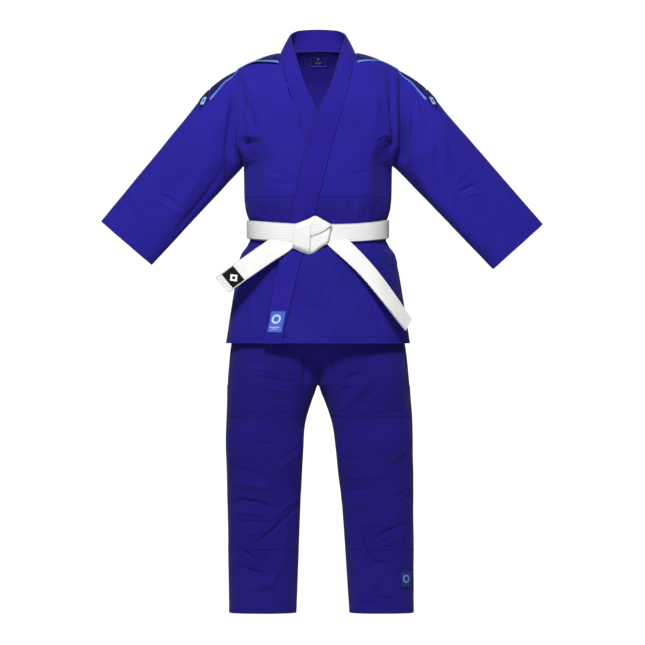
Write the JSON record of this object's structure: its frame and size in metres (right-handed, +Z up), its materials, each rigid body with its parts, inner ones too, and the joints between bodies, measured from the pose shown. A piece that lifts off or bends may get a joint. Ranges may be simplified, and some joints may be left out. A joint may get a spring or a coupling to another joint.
{
  "type": "martial arts uniform",
  "caption": "Judo suit as worn: wrapped jacket with wide sleeves and thick lapels, loose trousers with split legs, and a flat belt tied in a square knot with hanging ends.",
  "frame": {"origin": "middle of the wearer's waist, at the height of the belt's centre line at the front", "axes": "+X to the wearer's left, +Y to the wearer's back, +Z up; the wearer faces -Y"},
  "size_m": [1.0735, 0.2865, 1.4142],
  "materials": {
    "jacket_weave": "satin",
    "jacket_twill": "satin",
    "trouser_twill": "matte",
    "shoulder_navy": "satin",
    "piping_blue": "satin",
    "patch_blue": "satin",
    "belt_cotton": "matte",
    "label_black": "satin"
  },
  "bodies": {
    "trousers": {"waistband": "trouser_twill", "drawcord_loops": "trouser_twill", "right_hip_panel": "trouser_twill", "left_hip_panel": "trouser_twill", "crotch_gusset": "trouser_twill"},
    "right_trouser_leg": {"right_leg_panel": "trouser_twill", "right_knee_patch": "trouser_twill", "right_leg_hem": "trouser_twill"},
    "left_trouser_leg": {"left_leg_panel": "trouser_twill", "left_knee_patch": "trouser_twill", "left_leg_hem": "trouser_twill", "trouser_badge": "patch_blue"},
    "jacket": {"back_panel": "jacket_weave", "right_front_panel": "jacket_weave", "left_front_panel": "jacket_weave", "right_front_skirt": "jacket_weave", "left_front_skirt": "jacket_weave", "back_skirt_top": "jacket_weave", "right_lapel": "jacket_twill", "left_lapel": "jacket_twill", "collar": "jacket_twill", "right_front_hem": "jacket_weave", "left_front_hem": "jacket_weave", "right_sleeve_cap": "jacket_weave", "left_sleeve_cap": "jacket_weave", "right_shoulder_yoke": "shoulder_navy", "left_shoulder_yoke": "shoulder_navy", "right_shoulder_piping": "piping_blue", "left_shoulder_piping": "piping_blue", "right_shoulder_badge": "piping_blue", "left_shoulder_badge": "piping_blue", "right_vent_patch": "jacket_twill", "left_vent_patch": "jacket_twill", "neck_label": "label_black", "lapel_patch": "patch_blue", "belt_inner_wrap": "belt_cotton", "belt_outer_wrap": "belt_cotton", "belt_knot": "belt_cotton"},
    "back_flap": {"back_skirt": "jacket_weave", "back_hem": "jacket_weave"},
    "right_arm": {"right_sleeve": "jacket_weave", "right_cuff": "jacket_weave"},
    "left_arm": {"left_sleeve": "jacket_weave", "left_cuff": "jacket_weave"},
    "right_tail": {"right_belt_tail": "belt_cotton", "belt_label": "label_black"},
    "left_tail": {"left_belt_tail": "belt_cotton"}
  },
  "joints": [
    {"name": "jacket_lift", "type": "slide", "parent": "trousers", "child": "jacket", "axis": [0, 0, 1], "range_m": [0, 0.36]},
    {"name": "back_flap_lift", "type": "hinge", "parent": "jacket", "child": "back_flap", "pos_m": [0, 0.1175, -0.0502], "axis": [1, 0, 0], "range_deg": [0, 40]},
    {"name": "right_sleeve_raise", "type": "hinge", "parent": "jacket", "child": "right_arm", "pos_m": [-0.199, 0, 0.29], "axis": [0, 1, 0], "range_deg": [-12, 45]},
    {"name": "left_sleeve_raise", "type": "hinge", "parent": "jacket", "child": "left_arm", "pos_m": [0.199, 0, 0.29], "axis": [0, -1, 0], "range_deg": [-12, 45]},
    {"name": "right_tail_lift", "type": "hinge", "parent": "jacket", "child": "right_tail", "pos_m": [-0.092, -0.122, -0.033], "axis": [-0.5433, 0, 0.8396], "range_deg": [0, 80]},
    {"name": "left_tail_lift", "type": "hinge", "parent": "jacket", "child": "left_tail", "pos_m": [0.049, -0.124, -0.033], "axis": [-0.6124, 0, -0.7905], "range_deg": [0, 80]},
    {"name": "right_leg_swing", "type": "hinge", "parent": "trousers", "child": "right_trouser_leg", "pos_m": [-0.11, 0, -0.3], "axis": [-1, 0, 0], "range_deg": [-20, 30]},
    {"name": "left_leg_swing", "type": "hinge", "parent": "trousers", "child": "left_trouser_leg", "pos_m": [0.11, 0, -0.3], "axis": [-1, 0, 0], "range_deg": [-20, 30]}
  ]
}
